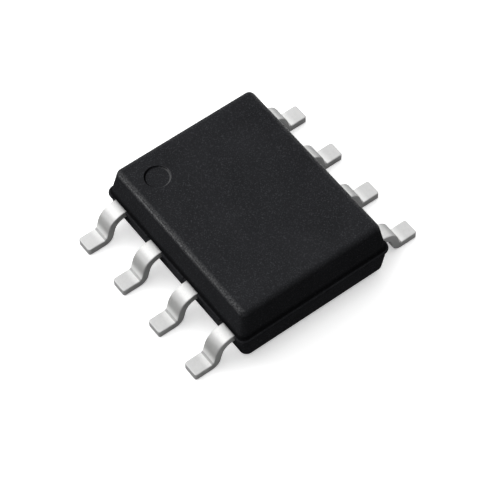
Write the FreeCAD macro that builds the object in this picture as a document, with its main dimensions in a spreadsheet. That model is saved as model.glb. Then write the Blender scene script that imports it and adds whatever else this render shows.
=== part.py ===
import FreeCAD, Part
import math
import os

import Sketcher
from FreeCAD import Placement, Rotation, Vector

# Eight-lead small-outline integrated circuit: an epoxy body moulded round a stamped lead frame.
# X runs across the body, +Y points to the end that carries the pin-1 mark, +Z is up.
# The origin is in the middle of the body, on the plane that the feet stand on.

doc = FreeCAD.newDocument("soic_chip")

# Driving dimensions in millimetres and degrees: name, value, meaning
SIZES = [
    ("leads_per_side", 4, "leads along each long side"),
    ("lead_pitch", 1.27, "middle of one lead to the middle of the next"),
    ("tip_span", 5.80, "across the toes of two opposite leads"),
    ("body_width", 3.90, "across the lip at the parting line"),
    ("body_length", 4.82, "along the lip at the parting line"),
    ("standoff", 0.13, "feet to the underside of the body"),
    ("parting_height", 0.77, "feet to the parting plane, the upper face of the lead frame"),
    ("top_height", 1.58, "feet to the top face"),
    ("upper_side_draft", 9.5, "slope of the upper long walls"),
    ("upper_end_draft", 9.5, "slope of the upper end walls"),
    ("lower_side_draft", 9.0, "slope of the lower long walls"),
    ("lower_end_draft", 3.0, "slope of the lower end walls"),
    ("corner_radius", 0.19, "upright corners of the body"),
    ("top_edge_radius", 0.13, "round edge of the top face"),
    ("bottom_edge_radius", 0.08, "round edge of the underside"),
    ("lip_width", 0.05, "how far the lip stands out of the upper wall"),
    ("lip_height", 0.03, "upright part of the lip"),
    ("flare_height", 0.06, "sloping part of the lip"),
    ("ledge", 0.03, "step from the lip in to the lower half"),
    ("window_gap", 0.06, "space between a lead and its window in the lip"),
    ("mark_diameter", 0.56, "pin-1 recess"),
    ("mark_depth", 0.04, "pin-1 recess"),
    ("mark_inset_side", 0.80, "body side to the middle of the pin-1 recess"),
    ("mark_inset_end", 0.85, "body end to the middle of the pin-1 recess"),
    ("ejector_diameter", 1.00, "ejector mark in the underside"),
    ("ejector_depth", 0.025, "ejector mark in the underside"),
    ("frame_thickness", 0.19, "leads, paddle and tie bars"),
    ("lead_width", 0.40, "width of a lead outside the body"),
    ("shoulder_reach", 0.01, "ledge to the start of the crown bend"),
    ("crown_radius", 0.28, "inner radius of the crown bend"),
    ("instep_radius", 0.06, "inner radius of the bend above the foot"),
    ("lead_slope", 74.0, "slope of the lead between its bends, from level"),
    ("toe_corner_radius", 0.05, "corners of the toe in plan"),
    ("finger_tip", 1.25, "middle of the body to the inner end of a finger"),
    ("finger_head_length", 0.37, "bond head at the inner end of a finger"),
    ("finger_head_width", 0.50, "bond head at the inner end of a finger"),
    ("finger_head_pitch", 1.12, "middle of one bond head to the middle of the next"),
    ("finger_neck", 0.12, "length over which a finger widens into its head"),
    ("finger_overlap", 0.05, "length over which finger and lead run into each other"),
    ("notch_length", 0.12, "notch that locks a finger into the resin"),
    ("notch_depth", 0.10, "notch that locks a finger into the resin"),
    ("notch_inset", 0.19, "inner end of a finger to its notches"),
    ("paddle_width", 2.05, "die paddle across the body"),
    ("paddle_length", 2.60, "die paddle along the body"),
    ("paddle_corner_radius", 0.10, "corners of the die paddle"),
    ("paddle_downset", 0.20, "lead frame plane down to the paddle plane"),
    ("tie_width", 0.30, "tie bar that holds the paddle"),
    ("tie_cover", 0.10, "resin between the end of a tie bar and the ledge"),
    ("tie_slope_start", 0.30, "paddle end to the start of the tie bar's slope"),
    ("tie_slope_length", 0.20, "tie bar's slope, along the body"),
    ("attach_thickness", 0.03, "die attach layer"),
    ("attach_margin", 0.05, "die attach beyond the die on each side"),
    ("die_width", 1.50, "die across the body"),
    ("die_length", 1.90, "die along the body"),
    ("die_thickness", 0.25, "die"),
    ("bond_inset", 0.12, "edge of the die to the middle of a bond"),
    ("bond_pitch", 0.44, "middle of one bond on the die to the next"),
    ("finger_bond_inset", 0.09, "inner end of a finger to the middle of its bond"),
    ("wire_diameter", 0.04, "bond wire"),
    ("wire_rise", 0.20, "top of the die to the kink at the top of a bond wire"),
    ("ball_diameter", 0.10, "ball bond on the die"),
    ("ball_height", 0.03, "ball bond on the die"),
    ("stitch_length", 0.12, "stitch bond on the finger, along the wire"),
    ("stitch_width", 0.08, "stitch bond on the finger"),
    ("stitch_height", 0.03, "stitch bond on the finger"),
]

# Two lengths closer than this are the same length
TOUCH = 1e-4

sheet = doc.addObject("Spreadsheet::Sheet", "Sizes")
for row, (name, size, meaning) in enumerate(SIZES, start=1):
    sheet.set(f"A{row}", name)
    sheet.set(f"B{row}", str(size))
    sheet.set(f"C{row}", meaning)
    sheet.setAlias(f"B{row}", name)
doc.recompute()


def bound(text):
    """Turn a formula of size names into an expression that reads the sheet."""
    names = sorted((entry[0] for entry in SIZES), key=len, reverse=True)
    for number, name in enumerate(names):
        text = text.replace(name, f"@{number}@")
    for number, name in enumerate(names):
        text = text.replace(f"@{number}@", f"Sizes.{name}")
    return text


def value(text):
    """Work out a formula of size names as a number."""
    result = sheet.evalExpression(bound(text))
    return float(getattr(result, "Value", result))


# Formulas that several pieces share
FRAME_BOTTOM = "(parting_height - frame_thickness)"
PADDLE_TOP = "(parting_height - paddle_downset)"
PADDLE_BOTTOM = f"({PADDLE_TOP} - frame_thickness)"
DIE_TOP = f"({PADDLE_TOP} + attach_thickness + die_thickness)"
LIP_TOP = "(parting_height + lip_height + flare_height)"
HALF_WALL = "(body_width / 2 - lip_width)"
HALF_END = "(body_length / 2 - lip_width)"
LEDGE_SIDE = "(body_width / 2 - ledge)"
LEDGE_END = "(body_length / 2 - ledge)"
SHOULDER = f"({LEDGE_SIDE} + shoulder_reach)"
FINGER_OUTER = "(finger_tip + finger_head_length + finger_neck)"


def origin_plane(body, role):
    """Find one of a body's own origin planes."""
    return next(item for item in body.Origin.OriginFeatures if item.Role == role)


def new_body(label):
    """Add an empty body with its own label."""
    body = doc.addObject("PartDesign::Body", label)
    body.Label = label
    return body


def new_sketch(body, name, role="XY_Plane", height=None):
    """Attach a sketch to an origin plane, lifted off it by a formula."""
    sketch = body.newObject("Sketcher::SketchObject", name)
    sketch.AttachmentSupport = [(origin_plane(body, role), "")]
    sketch.MapMode = "FlatFace"
    if height:
        sketch.setExpression("AttachmentOffset.Base.z", bound(height))
    return sketch


def add_size(sketch, kind, places, formula):
    """Add one driving dimension and bind it to the sheet; a zero distance becomes a touch."""
    size = value(formula)
    if kind in ("DistanceX", "DistanceY") and abs(size) < TOUCH:
        axis = -2 if kind == "DistanceX" else -1
        sketch.addConstraint(Sketcher.Constraint("PointOnObject", *places[2:], axis))
        return
    if kind in ("DistanceX", "DistanceY") and size < 0:
        places = places[2:] + places[:2]
        formula = f"-({formula})"
        size = -size
    if kind == "Angle":
        index = sketch.addConstraint(Sketcher.Constraint(kind, *places, math.radians(size)))
        formula = f"({formula}) * 1 deg"
    else:
        index = sketch.addConstraint(Sketcher.Constraint(kind, *places, size))
    sketch.setExpression(f"Constraints[{index}]", bound(formula))


def add_polygon(sketch, corners):
    """Draw a closed outline through corners that are each given by two formulas."""
    points = [Vector(value(across), value(along), 0) for across, along in corners]
    first = sketch.GeometryCount
    count = len(points)
    for number in range(count):
        ends = points[number], points[(number + 1) % count]
        sketch.addGeometry(Part.LineSegment(*ends), False)
    for number in range(count):
        here, after = first + number, first + (number + 1) % count
        sketch.addConstraint(Sketcher.Constraint("Coincident", here, 2, after, 1))
    for number, (across, along) in enumerate(corners):
        add_size(sketch, "DistanceX", (-1, 1, first + number, 1), across)
        add_size(sketch, "DistanceY", (-1, 1, first + number, 1), along)


def add_rectangle(sketch, low_x, high_x, low_y, high_y):
    """Draw a rectangle between four formulas."""
    add_polygon(sketch, [(low_x, low_y), (high_x, low_y), (high_x, high_y), (low_x, high_y)])


def add_circle(sketch, across, along, diameter):
    """Draw a circle whose middle and diameter are formulas."""
    centre = Vector(value(across), value(along), 0)
    index = sketch.addGeometry(Part.Circle(centre, Vector(0, 0, 1), value(diameter) / 2), False)
    add_size(sketch, "DistanceX", (-1, 1, index, 3), across)
    add_size(sketch, "DistanceY", (-1, 1, index, 3), along)
    add_size(sketch, "Diameter", (index,), diameter)


def add_rounded_rectangle(sketch, half_x, half_y, radius):
    """Draw a rectangle with round corners about the origin."""
    wide, long, bend = value(half_x), value(half_y), value(radius)
    turns = [(1, 1), (-1, 1), (-1, -1), (1, -1)]
    for quarter, (right, up) in enumerate(turns):
        centre = Vector(right * (wide - bend), up * (long - bend), 0)
        circle = Part.Circle(centre, Vector(0, 0, 1), bend)
        start = quarter * math.pi / 2
        sketch.addGeometry(Part.ArcOfCircle(circle, start, start + math.pi / 2), False)
    for quarter in range(4):
        arcs = sketch.Geometry[quarter], sketch.Geometry[(quarter + 1) % 4]
        sketch.addGeometry(Part.LineSegment(arcs[0].EndPoint, arcs[1].StartPoint), False)
    for quarter in range(4):
        line, after = 4 + quarter, (quarter + 1) % 4
        sketch.addConstraint(Sketcher.Constraint("Tangent", quarter, 2, line, 1))
        sketch.addConstraint(Sketcher.Constraint("Tangent", line, 2, after, 1))
    for line, direction in ((4, "Horizontal"), (5, "Vertical"), (6, "Horizontal"), (7, "Vertical")):
        sketch.addConstraint(Sketcher.Constraint(direction, line))
    for quarter in (1, 2, 3):
        sketch.addConstraint(Sketcher.Constraint("Equal", 0, quarter))
    sketch.addConstraint(Sketcher.Constraint("Symmetric", 0, 3, 2, 3, -1, 1))
    add_size(sketch, "Radius", (0,), radius)
    add_size(sketch, "DistanceX", (5, 1, 7, 1), f"2 * {half_x}")
    add_size(sketch, "DistanceY", (6, 1, 4, 1), f"2 * {half_y}")


def add_pad(body, name, sketch, length, symmetric=False):
    """Pad a sketch by a formula."""
    pad = body.newObject("PartDesign::Pad", name)
    pad.Profile = sketch
    pad.setExpression("Length", bound(length))
    pad.Midplane = symmetric
    doc.recompute()
    return pad


def add_pocket(body, name, sketch, depth, reverse=False):
    """Cut a sketch into the body by a formula and make sure that it removes resin."""
    before = body.Shape.Volume
    pocket = body.newObject("PartDesign::Pocket", name)
    pocket.Profile = sketch
    pocket.setExpression("Length", bound(depth))
    pocket.Reversed = reverse
    doc.recompute()
    if not body.Shape.Volume < before:
        raise RuntimeError(f"{name} cuts nothing")
    return pocket


def add_loft(body, name, sketches):
    """Loft straight walls through a stack of sketches."""
    loft = body.newObject("PartDesign::AdditiveLoft", name)
    loft.Profile = sketches[0]
    loft.Sections = sketches[1:]
    loft.Ruled = True
    doc.recompute()
    return loft


def add_fillet(body, name, base, radius, chosen):
    """Round the edges of a feature that a test of their bounding box picks out."""
    names = [f"Edge{number}" for number, edge in enumerate(base.Shape.Edges, start=1)
             if chosen(edge.BoundBox)]
    if not names:
        raise RuntimeError(f"{name} finds no edge")
    fillet = body.newObject("PartDesign::Fillet", name)
    fillet.Base = (base, names)
    fillet.setExpression("Radius", bound(radius))
    doc.recompute()
    return fillet


def at_height(height):
    """A test for edges that lie level at one height."""
    level = value(height)
    return lambda box: abs(box.ZMin - level) < TOUCH and abs(box.ZMax - level) < TOUCH


def make_resin_block():
    """Mould the body: two drafted halves, the lip between them, and its recesses."""
    body = new_body("resin_block")
    upper_height = "(top_height - parting_height)"
    side_slope = "tan(upper_side_draft * 1 deg)"
    end_slope = "tan(upper_end_draft * 1 deg)"
    wall_radius = "(corner_radius - lip_width)"

    lip_foot = new_sketch(body, "lip_foot", height="parting_height")
    add_rounded_rectangle(lip_foot, "body_width / 2", "body_length / 2", "corner_radius")
    lip_head = new_sketch(body, "lip_head", height="parting_height + lip_height")
    add_rounded_rectangle(lip_head, "body_width / 2", "body_length / 2", "corner_radius")
    wall_foot = new_sketch(body, "wall_foot", height=LIP_TOP)
    add_rounded_rectangle(wall_foot, f"({HALF_WALL} - (lip_height + flare_height) * {side_slope})",
                          f"({HALF_END} - (lip_height + flare_height) * {end_slope})", wall_radius)
    wall_head = new_sketch(body, "wall_head", height="top_height")
    add_rounded_rectangle(wall_head, f"({HALF_WALL} - {upper_height} * {side_slope})",
                          f"({HALF_END} - {upper_height} * {end_slope})", wall_radius)
    add_loft(body, "upper_half", [lip_foot, lip_head, wall_foot, wall_head])

    lower_height = "(parting_height - standoff)"
    lower_radius = "(corner_radius - ledge)"
    ledge_outline = new_sketch(body, "ledge_outline", height="parting_height")
    add_rounded_rectangle(ledge_outline, LEDGE_SIDE, LEDGE_END, lower_radius)
    underside = new_sketch(body, "underside", height="standoff")
    add_rounded_rectangle(underside,
                          f"({LEDGE_SIDE} - {lower_height} * tan(lower_side_draft * 1 deg))",
                          f"({LEDGE_END} - {lower_height} * tan(lower_end_draft * 1 deg))",
                          lower_radius)
    block = add_loft(body, "lower_half", [ledge_outline, underside])

    block = add_fillet(body, "top_edge", block, "top_edge_radius", at_height("top_height"))
    add_fillet(body, "bottom_edge", block, "bottom_edge_radius", at_height("standoff"))
    cut_lead_windows(body)
    cut_marks(body)
    return body


def cut_lead_windows(body):
    """Open the lip over each lead: one pair of windows, repeated along the body."""
    sketch = new_sketch(body, "window_outline", height="parting_height")
    first_row = "lead_pitch * (leads_per_side - 1) / 2"
    reach = "(lead_width / 2 + window_gap)"
    inner = f"({HALF_WALL} - ledge / 2)"
    outer = "(body_width / 2 + lip_width)"
    add_rectangle(sketch, inner, outer, f"{first_row} - {reach}", f"{first_row} + {reach}")
    add_rectangle(sketch, f"-{outer}", f"-{inner}", f"{first_row} - {reach}",
                  f"{first_row} + {reach}")
    window = add_pocket(body, "lead_window", sketch, "window_gap", reverse=True)
    rows = body.newObject("PartDesign::LinearPattern", "lead_windows")
    rows.Originals = [window]
    rows.Direction = (sketch, ["V_Axis"])
    rows.Reversed = True
    rows.setExpression("Length", bound("lead_pitch * (leads_per_side - 1)"))
    rows.setExpression("Occurrences", bound("leads_per_side"))
    body.Tip = rows
    doc.recompute()


def cut_marks(body):
    """Sink the pin-1 recess into the top and the ejector mark into the underside."""
    top = new_sketch(body, "pin_one_outline", height="top_height")
    add_circle(top, "mark_inset_side - body_width / 2", "body_length / 2 - mark_inset_end",
               "mark_diameter")
    add_pocket(body, "pin_one_mark", top, "mark_depth")
    bottom = new_sketch(body, "ejector_outline", height="standoff")
    add_circle(bottom, "0", "0", "ejector_diameter")
    add_pocket(body, "ejector_mark", bottom, "ejector_depth", reverse=True)


def draw_gull_wing(sketch):
    """Draw a lead from the side: level exit, crown, slope, bend and foot, at one thickness."""
    inner_end = value(FINGER_OUTER)
    thick, top, low = value("frame_thickness"), value("parting_height"), value(FRAME_BOTTOM)
    crown, instep = value("crown_radius"), value("instep_radius")
    slope = math.radians(value("lead_slope"))
    out = Vector(math.sin(slope), math.cos(slope), 0)
    shoulder = Vector(value(SHOULDER), low - crown, 0)
    drop = instep + thick - shoulder.y
    reach = (crown + thick + instep - drop * math.cos(slope)) / math.sin(slope)
    ankle = Vector(shoulder.x + reach, instep + thick, 0)
    toe = value("tip_span / 2")

    def arc(centre, radius, start, end):
        circle = Part.Circle(centre, Vector(0, 0, 1), radius)
        return Part.ArcOfCircle(circle, start, end)

    def line(start, end):
        return Part.LineSegment(start, end)

    upright = math.pi / 2
    lean = upright - slope
    crown_top = Vector(shoulder.x, top, 0)
    crown_low = Vector(shoulder.x, low, 0)
    sole = Vector(ankle.x, 0, 0)
    foot_top = Vector(ankle.x, thick, 0)
    shapes = [
        line(Vector(inner_end, top, 0), crown_top),
        arc(shoulder, crown + thick, lean, upright),
        line(shoulder + out * (crown + thick), ankle - out * instep),
        arc(ankle, instep, lean + math.pi, 3 * upright),
        line(foot_top, Vector(toe, thick, 0)),
        line(Vector(toe, thick, 0), Vector(toe, 0, 0)),
        line(Vector(toe, 0, 0), sole),
        arc(ankle, instep + thick, lean + math.pi, 3 * upright),
        line(ankle - out * (instep + thick), shoulder + out * crown),
        arc(shoulder, crown, lean, upright),
        line(crown_low, Vector(inner_end, low, 0)),
        line(Vector(inner_end, low, 0), Vector(inner_end, top, 0)),
    ]
    sketch.addGeometry(shapes, False)
    joints = [("Tangent", 0, 2, 1, 2), ("Tangent", 1, 1, 2, 1), ("Tangent", 2, 2, 3, 1),
              ("Tangent", 3, 2, 4, 1), ("Coincident", 4, 2, 5, 1), ("Coincident", 5, 2, 6, 1),
              ("Tangent", 6, 2, 7, 2), ("Tangent", 7, 1, 8, 1), ("Tangent", 8, 2, 9, 1),
              ("Tangent", 9, 2, 10, 1), ("Coincident", 10, 2, 11, 1), ("Coincident", 11, 2, 0, 1),
              ("Coincident", 1, 3, 9, 3), ("Coincident", 3, 3, 7, 3),
              ("Horizontal", 0), ("Horizontal", 4), ("Horizontal", 6), ("Horizontal", 10),
              ("Vertical", 5), ("Vertical", 11), ("PointOnObject", 6, 1, -1)]
    for joint in joints:
        sketch.addConstraint(Sketcher.Constraint(*joint))
    add_size(sketch, "Radius", (9,), "crown_radius")
    add_size(sketch, "Radius", (1,), "crown_radius + frame_thickness")
    add_size(sketch, "Radius", (3,), "instep_radius")
    add_size(sketch, "Radius", (7,), "instep_radius + frame_thickness")
    add_size(sketch, "Angle", (2, 2, -1, 2), "lead_slope")
    add_size(sketch, "DistanceX", (-1, 1, 1, 3), SHOULDER)
    add_size(sketch, "DistanceX", (-1, 1, 11, 1), FINGER_OUTER)
    add_size(sketch, "DistanceY", (-1, 1, 11, 1), FRAME_BOTTOM)
    add_size(sketch, "DistanceX", (-1, 1, 6, 1), "tip_span / 2")


def lead_step(number):
    """Give a lead's place along its side, in pitches from the middle of the body."""
    count = int(value("leads_per_side"))
    if number <= count:
        return (count + 1) / 2 - number
    return number - count - (count + 1) / 2


def is_left(number):
    """The first half of the leads lies on the -X side, and the rest comes back up the +X side."""
    return number <= int(value("leads_per_side"))


def make_lead(number):
    """Form one gull-wing lead, pointing along +X, then turn and move it to its place."""
    step = lead_step(number)
    turned = -1 if is_left(number) else 1
    body = new_body(f"lead_{number}")

    profile = new_sketch(body, "gull_wing", role="XZ_Plane")
    draw_gull_wing(profile)
    lead = add_pad(body, "strip", profile, "lead_width", symmetric=True)
    toe, corner = value("tip_span / 2"), value("toe_corner_radius")
    add_fillet(body, "toe_corners", lead, "toe_corner_radius", lambda box:
               box.XMin > toe - corner / 2 and box.YLength < corner / 2 < box.ZLength)
    add_finger(body, turned * step)
    body.Placement = Placement(Vector(), Rotation(Vector(0, 0, 1), 180 if turned < 0 else 0))
    body.setExpression("Placement.Base.y", bound(f"{step} * lead_pitch"))
    return body


def add_finger(body, step):
    """Widen the lead inside the resin into a bond head, with a notch in each side to lock it."""
    shift = f"({step} * (finger_head_pitch - lead_pitch))"
    half_lead, half_head = "lead_width / 2", "finger_head_width / 2"
    head_outer = "(finger_tip + finger_head_length)"
    overlap = f"({FINGER_OUTER} + finger_overlap)"
    notch_start = "(finger_tip + notch_inset)"
    notch_end = f"({notch_start} + notch_length)"

    def head_side(side):
        edge = f"{shift} {side} {half_head}"
        floor = f"{shift} {side} ({half_head} - notch_depth)"
        return [(head_outer, edge), (notch_end, edge), (notch_end, floor),
                (notch_start, floor), (notch_start, edge), ("finger_tip", edge)]

    plan = new_sketch(body, "finger_outline", height=FRAME_BOTTOM)
    neck = [(FINGER_OUTER, f"-{half_lead}"), (overlap, f"-{half_lead}"), (overlap, half_lead),
            (FINGER_OUTER, half_lead)]
    add_polygon(plan, neck + head_side("+") + head_side("-")[::-1])
    add_pad(body, "finger", plan, "frame_thickness")


def make_paddle():
    """Stamp the die paddle with the two tie bars that held it in the frame."""
    body = new_body("die_paddle")
    plate = new_sketch(body, "plate_outline", height=PADDLE_BOTTOM)
    add_rounded_rectangle(plate, "paddle_width / 2", "paddle_length / 2", "paddle_corner_radius")
    add_pad(body, "plate", plate, "frame_thickness")
    root = "(paddle_length / 2 - paddle_corner_radius)"
    rise_start = "(paddle_length / 2 + tie_slope_start)"
    rise_end = f"({rise_start} + tie_slope_length)"
    end = f"({LEDGE_END} - tie_cover)"
    profile = new_sketch(body, "tie_profile", role="YZ_Plane")
    add_polygon(profile, [
        (root, PADDLE_BOTTOM), (rise_start, PADDLE_BOTTOM), (rise_end, FRAME_BOTTOM),
        (end, FRAME_BOTTOM), (end, "parting_height"), (rise_end, "parting_height"),
        (rise_start, PADDLE_TOP), (root, PADDLE_TOP),
    ])
    tie = add_pad(body, "tie_bar", profile, "tie_width", symmetric=True)
    pair = body.newObject("PartDesign::Mirrored", "tie_bars")
    pair.Originals = [tie]
    pair.MirrorPlane = (origin_plane(body, "XZ_Plane"), [""])
    body.Tip = pair
    doc.recompute()
    return body


def make_plate(label, half_x, half_y, low, thickness):
    """Lay a flat plate about the middle of the body."""
    box = doc.addObject("Part::Box", label)
    box.Label = label
    box.setExpression("Length", bound(f"2 * {half_x}"))
    box.setExpression("Width", bound(f"2 * {half_y}"))
    box.setExpression("Height", bound(thickness))
    box.setExpression("Placement.Base.x", bound(f"-{half_x}"))
    box.setExpression("Placement.Base.y", bound(f"-{half_y}"))
    box.setExpression("Placement.Base.z", bound(low))
    return box


def draw_wire_path(sketch, span, end_height):
    """Draw the middle line of a bond wire: straight up from the die, a kink, and a long slope."""
    kink = Vector(0, value("wire_rise"), 0)
    end = Vector(value(span), value(end_height), 0)
    sketch.addGeometry([Part.LineSegment(Vector(), kink), Part.LineSegment(kink, end)], False)
    joints = [("Coincident", 0, 1, -1, 1), ("Coincident", 0, 2, 1, 1), ("Vertical", 0)]
    for joint in joints:
        sketch.addConstraint(Sketcher.Constraint(*joint))
    add_size(sketch, "DistanceY", (-1, 1, 0, 2), "wire_rise")
    add_size(sketch, "DistanceX", (-1, 1, 1, 2), span)
    add_size(sketch, "DistanceY", (-1, 1, 1, 2), end_height)


def make_wire(number):
    """Bond one wire: a ball on the die, the wire itself, and a stitch on the lead's finger."""
    side = -1 if is_left(number) else 1
    step = lead_step(number)
    start_x = f"({side} * (die_width / 2 - bond_inset))"
    start_y = f"({step} * bond_pitch)"
    run_x = f"({side} * (finger_tip + finger_bond_inset) - {start_x})"
    run_y = f"({step} * finger_head_pitch - {start_y})"
    span = f"sqrt({run_x} ^ 2 + {run_y} ^ 2)"
    stitch_low = f"(parting_height - {DIE_TOP})"
    body = new_body(f"bond_wire_{number}")

    ball = new_sketch(body, "ball_outline")
    add_circle(ball, "0", "0", "ball_diameter")
    add_pad(body, "ball", ball, "ball_height")
    path = new_sketch(body, "path", role="XZ_Plane")
    draw_wire_path(path, span, f"({stitch_low} + wire_diameter / 2)")
    section = new_sketch(body, "section")
    add_circle(section, "0", "0", "wire_diameter")
    wire = body.newObject("PartDesign::AdditivePipe", "wire")
    wire.Profile = section
    wire.Spine = (path, ["Edge1", "Edge2"])
    wire.Transition = "Right corner"
    doc.recompute()
    stitch = new_sketch(body, "stitch_outline", height=stitch_low)
    add_rectangle(stitch, f"{span} - stitch_length / 2", f"{span} + stitch_length / 2",
                  "-stitch_width / 2", "stitch_width / 2")
    add_pad(body, "stitch", stitch, "stitch_height")

    turn = math.degrees(math.atan2(value(run_y), value(run_x)))
    body.Placement = Placement(Vector(), Rotation(Vector(0, 0, 1), turn))
    body.setExpression("Placement.Base.x", bound(start_x))
    body.setExpression("Placement.Base.y", bound(start_y))
    body.setExpression("Placement.Base.z", bound(DIE_TOP))
    return body


def make_moulding(block, inside):
    """Close the resin round everything that it holds."""
    held = doc.addObject("Part::MultiFuse", "held_inside")
    held.Shapes = inside
    moulding = doc.addObject("Part::Cut", "moulded_body")
    moulding.Label = "moulded_body"
    moulding.Base = block
    moulding.Tool = held
    return moulding


lead_numbers = range(1, 2 * int(value("leads_per_side")) + 1)
leads = [make_lead(number) for number in lead_numbers]
paddle = make_paddle()
attach = make_plate("die_attach", "(die_width / 2 + attach_margin)",
                    "(die_length / 2 + attach_margin)", PADDLE_TOP, "attach_thickness")
die = make_plate("silicon_die", "(die_width / 2)", "(die_length / 2)",
                 f"{PADDLE_TOP} + attach_thickness", "die_thickness")
wires = [make_wire(number) for number in lead_numbers]
inside = leads + [paddle, attach, die] + wires
moulding = make_moulding(make_resin_block(), inside)
doc.recompute()

pieces = [moulding] + inside
for item in doc.Objects:
    if "Invalid" in item.State or "Error" in item.State:
        raise RuntimeError(f"{item.Label} failed: {item.State}")
for piece in pieces:
    if piece.Shape.isNull() or not piece.Shape.isValid() or len(piece.Shape.Solids) != 1:
        raise RuntimeError(f"{piece.Label} is not one sound solid")

os.makedirs("parts", exist_ok=True)
for piece in pieces:
    piece.Shape.exportStep(f"parts/{piece.Label}.step")
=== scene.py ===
import math

import bmesh
import bpy
import numpy as np
from bpy.props import FloatProperty, FloatVectorProperty, PointerProperty
from mathutils import Matrix, Vector


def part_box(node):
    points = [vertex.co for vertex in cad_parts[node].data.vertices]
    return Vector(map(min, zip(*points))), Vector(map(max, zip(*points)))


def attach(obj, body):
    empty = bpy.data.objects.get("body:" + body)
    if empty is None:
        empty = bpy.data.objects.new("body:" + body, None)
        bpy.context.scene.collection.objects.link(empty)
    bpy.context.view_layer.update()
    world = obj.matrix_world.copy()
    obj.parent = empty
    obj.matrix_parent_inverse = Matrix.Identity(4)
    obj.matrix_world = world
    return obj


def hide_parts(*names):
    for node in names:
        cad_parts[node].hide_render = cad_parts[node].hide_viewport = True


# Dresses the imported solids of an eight-lead small-outline chip: the moulding and the leads get
# fine surfaces in place of the faceted ones, and every piece gets its finish.
# Metres throughout; +X points to leads 5 to 8, +Y to the end with the pin-1 mark, +Z up.

bl_info = {
    "name": "Small-outline chip",
    "version": (1, 0, 0),
    "blender": (4, 5, 0),
    "location": "3D View > Sidebar > Chip",
    "description": "Moulds, plates and lights a small-outline chip round its packed solids",
    "category": "Object",
}

MM = 0.001

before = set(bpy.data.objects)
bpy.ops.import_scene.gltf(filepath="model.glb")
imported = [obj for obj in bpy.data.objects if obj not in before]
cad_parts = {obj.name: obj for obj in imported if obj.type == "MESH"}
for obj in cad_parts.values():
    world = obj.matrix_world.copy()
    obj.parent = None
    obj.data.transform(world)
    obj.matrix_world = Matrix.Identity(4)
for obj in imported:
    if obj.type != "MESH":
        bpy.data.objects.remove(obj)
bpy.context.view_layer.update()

body_low, body_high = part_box("moulded_body")
lead_low, lead_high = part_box("lead_1")
next_lead_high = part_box("lead_2")[1]
lead_names = sorted(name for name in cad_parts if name.startswith("lead_"))
wire_names = sorted(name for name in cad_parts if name.startswith("bond_wire_"))
LEADS_PER_SIDE = len(lead_names) // 2

# Points that lie nearer together than this become one.
MERGE = 1e-5 * MM

# Points along a long side and an end wall of the moulding, over its round edges and over each
# round of a recess, and steps round its corners.
SIDE_POINTS = 97
END_POINTS = 61
ROUND_POINTS = 11
RECESS_POINTS = 5
CORNER_STEPS = 14

# Steps along a lead, up to the crown and over the crown, slope, instep and foot, steps round a
# corner of the toe, and points across the toe and over a rolled edge.
RUN_STEPS = (5, 32, 8, 32, 8)
TOE_CORNER_STEPS = 8
TOE_POINTS = 7
ROLL_POINTS = 7

# The side of the pin-1 mark's rim that faces the lamps, as a direction in plan: the rim has the
# clear coat on this side and painted shade on the other.
MARK_LIT_SIDE = np.array([0.81, -0.58])

# Wear of the top edge at the end with the pin-1 mark, as a share of that along the sides.
END_WEAR = 0.4


def size(name, description, default):
    """A length that a user can change, in metres."""
    return FloatProperty(name=name, description=description, default=default, min=0.0,
                         subtype="DISTANCE", unit="LENGTH", precision=6)


def slant(name, description, degrees):
    """An angle that a user can change, given in degrees."""
    return FloatProperty(name=name, description=description, default=math.radians(degrees),
                         subtype="ANGLE", unit="ROTATION")


def share(name, description, default):
    """A plain number from nothing upwards."""
    return FloatProperty(name=name, description=description, default=default, min=0.0)


def point(name, description, *default):
    """A place that a user can change, in metres."""
    return FloatVectorProperty(name=name, description=description, default=default, size=3,
                               subtype="XYZ", unit="LENGTH", precision=6)


def colour(name, description, default):
    """A linear colour that a user can change."""
    return FloatVectorProperty(name=name, description=description, default=default, size=3,
                               min=0.0, max=1.0, subtype="COLOR")


class MouldingSizes(bpy.types.PropertyGroup):
    """Sizes of the epoxy moulding."""
    width: size("Width", "Across the lip", body_high.x - body_low.x)
    length: size("Length", "Along the lip", body_high.y - body_low.y)
    standoff: size("Standoff", "Feet to underside", body_low.z)
    top_height: size("Top height", "Feet to top face", body_high.z)
    upper_side_draft: slant("Upper side draft", "Slope of the upper long walls", 9.5)
    upper_end_draft: slant("Upper end draft", "Slope of the upper end walls", 9.5)
    lower_side_draft: slant("Lower side draft", "Slope of the lower long walls", 9.0)
    lower_end_draft: slant("Lower end draft", "Slope of the lower end walls", 3.0)
    corner_radius: size("Corner radius", "Upright corners at the lip", 0.19 * MM)
    top_edge_radius: size("Top edge radius", "Round edge of the top face", 0.13 * MM)
    bottom_edge_radius: size("Bottom edge radius", "Round edge of the underside", 0.08 * MM)
    lip_width: size("Lip width", "How far the lip stands out of the upper wall", 0.05 * MM)
    lip_height: size("Lip height", "Upright part of the lip", 0.03 * MM)
    flare_height: size("Flare height", "Sloping part of the lip", 0.06 * MM)
    ledge: size("Ledge", "Step from the lip in to the lower half", 0.03 * MM)
    crisp_edge: size("Crisp edge", "Softening of the edges of the lip", 0.006 * MM)
    window_gap: size("Window gap", "Space between a lead and its window", 0.06 * MM)
    mark_diameter: size("Mark diameter", "Pin-1 recess", 0.56 * MM)
    mark_depth: size("Mark depth", "Pin-1 recess", 0.04 * MM)
    mark_inset_side: size("Mark inset, side", "Body side to the recess", 0.80 * MM)
    mark_inset_end: size("Mark inset, end", "Body end to the recess", 0.85 * MM)
    mark_edge: size("Mark edge", "Softening of the recess's rim", 0.013 * MM)
    ejector_diameter: size("Ejector diameter", "Mark in the underside", 1.0 * MM)
    ejector_depth: size("Ejector depth", "Mark in the underside", 0.025 * MM)


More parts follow.
